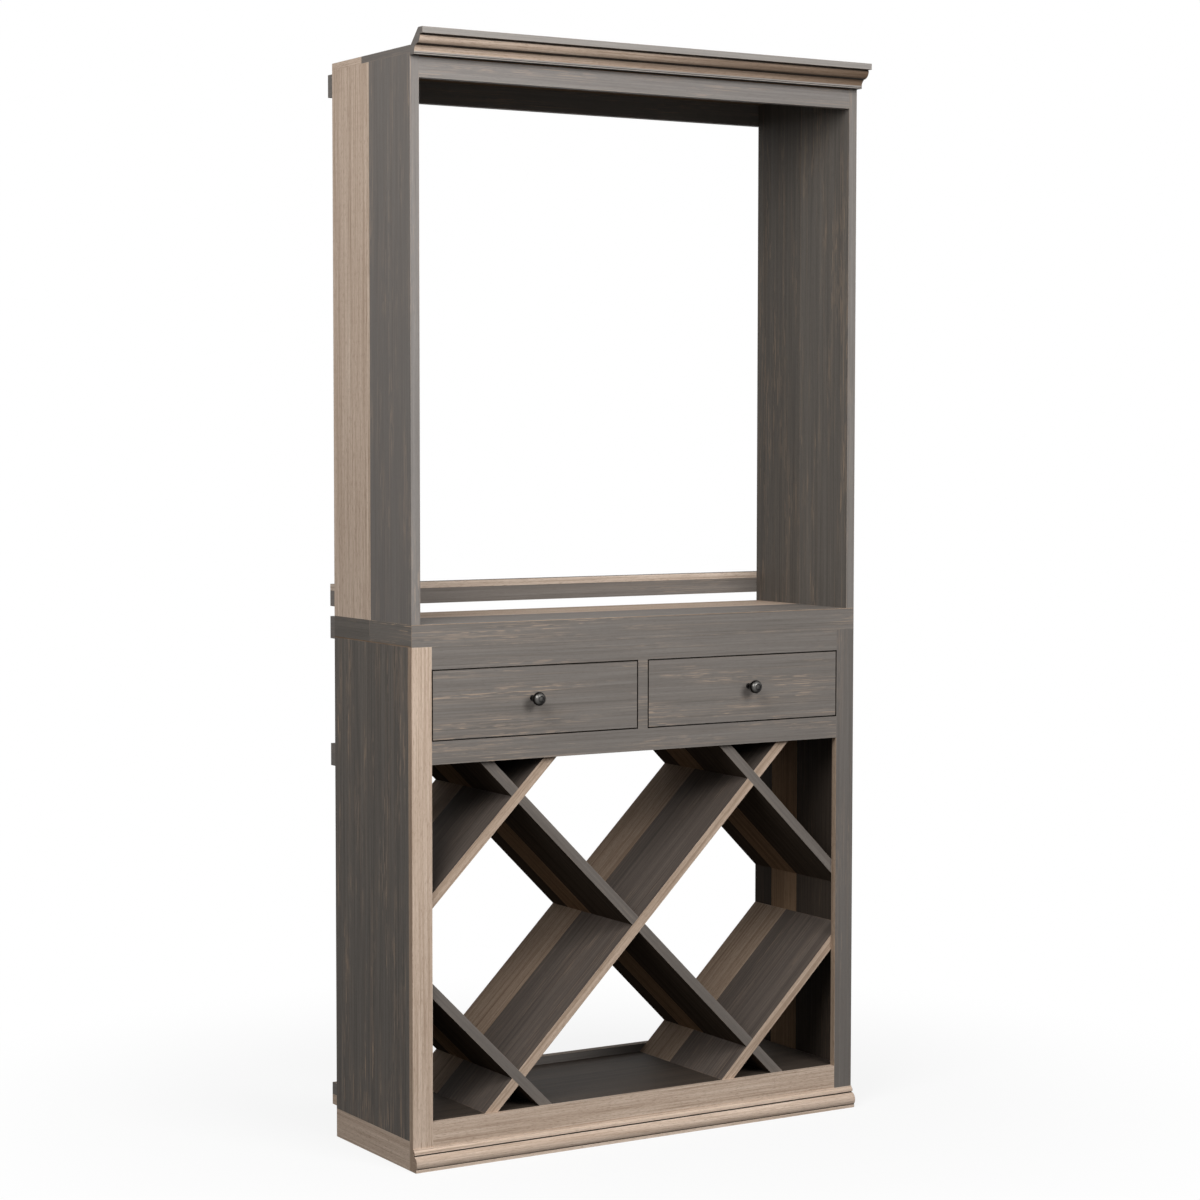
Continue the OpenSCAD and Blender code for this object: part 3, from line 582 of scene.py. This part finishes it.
# What several boards share.
inside = (0, side_mid)
at_ends = (side_out - LIP, FAR)
side_band = zone("band_brown", y=tuple(front_y + depth for depth in SIDE_BAND), seam=True)


def crown_zones():
    """The painted shade that darkens it to the right, the members and the two ends of the crown.
    """
    return (
        # Painted shade, darkening the crown towards its right end.
        zone("brown", x=(CROWN_SHADE_FROM, FAR), fade=CROWN_SHADE_WIDTH),
        *(zone(tone, z=(crown_low + low, crown_low + high)) for tone, low, high in CROWN_MEMBERS),
        zone("dark_grey", ends=at_ends),
    )


def drawer_gap_shade(low_x, high_x):
    """Painted shade on the faces of the frame round a drawer, and on a narrow rim of its front."""
    return zone("gap", x=(low_x - RIM, high_x + RIM), z=(drawers_low - RIM, drawers_high + RIM))


def drawer_zones(low, high):
    """Painted shade on a drawer front's edges between two corners, then its face inside the rim.
    """
    return (
        # Painted shade on the edges of the drawer's front.
        zone("groove", y=(-FAR, front_y + DRAWER_SHADE_DEPTH)),
        zone(
            "grey", x=(low[0] + RIM, high[0] - RIM), y=(-FAR, low[1] + FACE_LIP),
            z=(low[2] + RIM, high[2] - RIM),
        ),
    )


def hutch_boards():
    """The hutch's top and crown, and all the rails at the back."""
    outside = (crown_low, FAR)
    gallery_top = zone("sand", z=(gallery_low + GALLERY_SEAM, gallery_high), seam=True)
    foot_top = zone("dark_grey", z=(foot_low + FOOT_SEAM, foot_high), seam=True)
    return {
        "hutch_front_rail": board(ALONG_X, "pale_grey", 0.7),
        "hutch_top_front": board(ALONG_X, "dark_brown", 0.3, (zone("dark_grey", z=outside),)),
        "hutch_top_rear": board(ALONG_X, "dark_brown", 0.1, (zone("beige", z=outside),)),
        "crown_moulding": board(ALONG_X, "beige", 0.2, crown_zones()),
        "crown_blocks": board(ALONG_X, "raw", 0.0),
        "rear_rail_top": board(
            ALONG_X, "edge_grey", 0.9, (zone("dark_grey", ends=(side_in, FAR)),)
        ),
        "rear_rail_gallery": board(ALONG_X, "grey", 0.4, (gallery_top,)),
        "rear_rail_counter": board(ALONG_X, "dark_grey", 0.4),
        "rear_rail_deck": board(ALONG_X, "dark_grey", 0.4),
        "rear_rail_foot": board(ALONG_X, "beige", 0.2, (foot_top,)),
    }


def counter_boards():
    cut_end = zone("cut_grey", ends=at_ends)
    # Painted shade along the lower edge of the counter's cut ends.
    end_shade = zone("brown", ends=at_ends, z=(-FAR, counter_low + COUNTER_END_SHADE))
    bare_edge = zone(
        "tan", y=(-FAR, front_y + COUNTER_EDGE_DEPTH), z=(counter_high - COUNTER_EDGE_HEIGHT, FAR)
    )
    return {
        "counter_front": board(
            ALONG_X, "grey", 0.9, (cut_end, end_shade, bare_edge), arris=COUNTER_ARRIS_WORN
        ),
        "counter_rear": board(ALONG_X, "beige", 0.2, (cut_end, end_shade), sheen=DULL_SHEEN),
    }


def base_boards():
    """The sides, plinths, face frame and base moulding, and the boards that they hide."""
    # Painted shade in the gaps round the two drawers.
    gap_shade = (
        drawer_gap_shade(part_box("stile_left")[1][0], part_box("mullion")[0][0]),
        drawer_gap_shade(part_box("mullion")[1][0], stile_in),
    )
    left_outside = zone("deep_grey", x=(-FAR, -side_mid))
    right_outside = zone("deep_grey", x=(side_mid, FAR))
    left_end = zone("tan", x=(-FAR, LIP - side_out))
    lattice_edge = zone("tan", x=(0, stile_in + LIP), z=(-FAR, lattice_high))
    # Painted shade in the base moulding's grooves.
    groove_shade = (zone("inner_brown", z=groove) for groove in BASE_GROOVE_SHADE)
    return {
        "base_side_left": board(ALONG_Z, "inner_brown", 1.0, (left_outside,)),
        "base_side_right": board(
            ALONG_Z, "inner_brown", 0.5, (side_band, right_outside), sheen=DULL_SHEEN
        ),
        "plinth_left": board(ALONG_Y, "beige", 0.1),
        "plinth_right": board(ALONG_Y, "beige", 0.1),
        "stile_left": board(ALONG_Z, "pale_beige", 0.1, (left_end, gap_shade[0])),
        "stile_right": board(ALONG_Z, "dark_grey", 0.5, (lattice_edge, gap_shade[1])),
        "top_rail": board(ALONG_X, "grey", 0.9, gap_shade, arris=DRAWER_ARRIS_WORN),
        "middle_rail": board(ALONG_X, "grey", 0.9, gap_shade, arris=DRAWER_ARRIS_WORN),
        "mullion": board(ALONG_X, "grey", 0.8, gap_shade, arris=DRAWER_ARRIS_WORN),
        "bottom_rail": board(ALONG_X, "beige", 0.1),
        "base_moulding": board(ALONG_X, "cream", 0.1, (*groove_shade, zone("tan", ends=at_ends))),
        "bottom_deck": board(ALONG_X, "inner_brown", 0.2),
        "drawer_deck": board(ALONG_X, "inner_brown", 0.2),
        "drawer_divider": board(ALONG_Y, "raw", 0.0),
        "slide_packing_left": board(ALONG_Y, "raw", 0.0),
        "slide_packing_right": board(ALONG_Y, "raw", 0.0),
        "corner_dowels": board(ALONG_Z, "raw", 0.0),
    }


def boards_of_side(side, edge_tone):
    """The side of the hutch, with the tone of its front edge, and the drawer on that side."""
    inner_front = zone("inner_pale", ends=inside)
    inner_rear = zone("inner_grey", ends=inside)
    front_edge = zone(edge_tone, y=(-FAR, front_y + LIP))
    hutch, drawer = f"hutch_side_{side}_", f"{side}_drawer_"
    drawer_front = drawer_zones(*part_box(drawer + "front"))
    return {
        hutch + "front": board(ALONG_Z, "dark_grey", 0.8, (inner_front, front_edge)),
        hutch + "rear": board(ALONG_Z, "beige", 0.6, (inner_rear,)),
        drawer + "front": board(ALONG_X, "grey", 1.0, drawer_front, arris=DRAWER_ARRIS_WORN),
        drawer + "outer_side": board(ALONG_Y, "box", 0.0),
        drawer + "inner_side": board(ALONG_Y, "box", 0.0),
        drawer + "back": board(ALONG_X, "box", 0.0),
        drawer + "bottom": board(ALONG_X, "box", 0.0),
    }


def lattice_boards(row):
    """The rising and the falling board of a row, each with its front edge in another tone."""
    front_edge = (-FAR, frame_back_y + LIP)
    rear_band = zone("tan", y=(front_y + REAR_BAND, FAR), seam=True)
    rising = (rear_band, zone("light_tan", y=front_edge))
    falling = (side_band, zone("taupe", y=front_edge))
    return {
        "lattice_rising_" + row: board(RISING, "board_brown", 0.5, rising, sheen=RISING_SHEEN),
        "lattice_falling_" + row: board(FALLING, "inner_dark", 0.3, falling, sheen=FALLING_SHEEN),
    }


def plan_boards():
    """The finish of each wooden node. The seeds follow this order."""
    plan = {**hutch_boards(), **counter_boards(), **base_boards()}
    plan.update(boards_of_side("left", "pale_grey"))
    plan.update(boards_of_side("right", "edge_grey"))
    for row in ("long", "upper", "lower"):
        plan.update(lattice_boards(row))
    return plan


def assign(node, material):
    mesh = nodes[node].data
    mesh.materials.clear()
    mesh.materials.append(material)


def dress_woods(plan):
    for number, (node, finish) in enumerate(plan.items()):
        assign(node, wood("wood_" + node, finish, FIRST_SEED + number * SEED_STEP))


def dress_metals():
    zinc = steel("zinc_steel", ZINC, ALONG_Y)
    for side in ("left", "right"):
        knob = side + "_drawer_knob"
        assign(knob, dark_metal("black_" + knob, *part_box(knob)))
        assign(knob + "_screw", zinc)
        for member in ("cabinet", "middle", "drawer"):
            assign(f"{side}_slide_{member}", zinc)
    assign("rear_rail_screws", steel("screw_steel", PHOSPHATED, ALONG_Z))


# softened edges

ARRIS_WIDTH = 0.0006
ARRIS_SEGMENTS = 2
FLAT_WITHIN = math.radians(0.5)
SHARP_FROM = math.radians(40)


def soften(node):
    """Merges flat facets, then rounds the sharp edges of a board a little."""
    flat = nodes[node].modifiers.new("flat", "DECIMATE")
    flat.decimate_type = "DISSOLVE"
    flat.angle_limit = FLAT_WITHIN
    bevel = nodes[node].modifiers.new("arris", "BEVEL")
    bevel.width = ARRIS_WIDTH
    bevel.segments = ARRIS_SEGMENTS
    bevel.limit_method = "ANGLE"
    bevel.angle_limit = SHARP_FROM


# stage

FLOOR_HALF = 30
FLOOR_SEEN = (0.9, 0.9, 0.9, 1)
FLOOR_BOUNCE = (0.12, 0.12, 0.12, 1)
# How much of the floor is plain white, by metres from the middle of the cabinet. The rest
# takes the shadow.
WHITE_SPAN = (0.5, 1.8)
WHITE_SHARE = (0.84, 1.0)
AMBIENT = 0.24

LAMP_AIM = (0, 0, 1.3)
# Name, place, side of the square and watts.
LAMPS = (
    ("high_left", (-2.48, -1.66, 2.99), 1.8, 80),
    ("front", (0.8, -5.1, 3.55), 2.6, 205),
)


def make_floor():
    half = FLOOR_HALF
    corners = [(-half, -half, 0), (half, -half, 0), (half, half, 0), (-half, half, 0)]
    mesh = bpy.data.meshes.new("floor")
    mesh.from_pydata(corners, [], [(0, 1, 2, 3)])
    floor = bpy.data.objects.new("floor", mesh)
    scene.collection.objects.link(floor)
    g = MaterialGraph("floor_white")
    seen = g.seen()
    share = g.fit(g.length(g.position), WHITE_SPAN, *WHITE_SHARE, smooth=True)
    matt = g.add("ShaderNodeBsdfDiffuse", g.mix(seen, FLOOR_BOUNCE, FLOOR_SEEN))
    glow = g.add("ShaderNodeEmission", WHITE, 1.0)
    g.end_mixed("ShaderNodeOutputMaterial", g.math("MULTIPLY", seen, share), matt, glow)
    mesh.materials.append(g.material)


def make_world():
    world = bpy.data.worlds.new("studio")
    g = Graph(world)
    lit = g.add("ShaderNodeBackground", WHITE, AMBIENT)
    white = g.add("ShaderNodeBackground", WHITE, 1.0)
    g.end_mixed("ShaderNodeOutputWorld", g.seen(), lit, white)
    scene.world = world


def make_lamp(name, at, side, watts):
    data = bpy.data.lights.new(name, "AREA")
    data.shape = "SQUARE"
    data.size = side
    data.energy = watts
    lamp = bpy.data.objects.new(name, data)
    scene.collection.objects.link(lamp)
    lamp.location = at
    lamp.rotation_euler = (Vector(LAMP_AIM) - Vector(at)).to_track_quat("-Z", "Y").to_euler()


make_camera()
boards = plan_boards()
dress_woods(boards)
dress_metals()
for node in boards:
    # The dowels lie hidden in the boards, so they keep their plain mesh.
    if node != "corner_dowels":
        soften(node)
make_floor()
make_world()
for lamp in LAMPS:
    make_lamp(*lamp)
scene.view_settings.view_transform = "Standard"
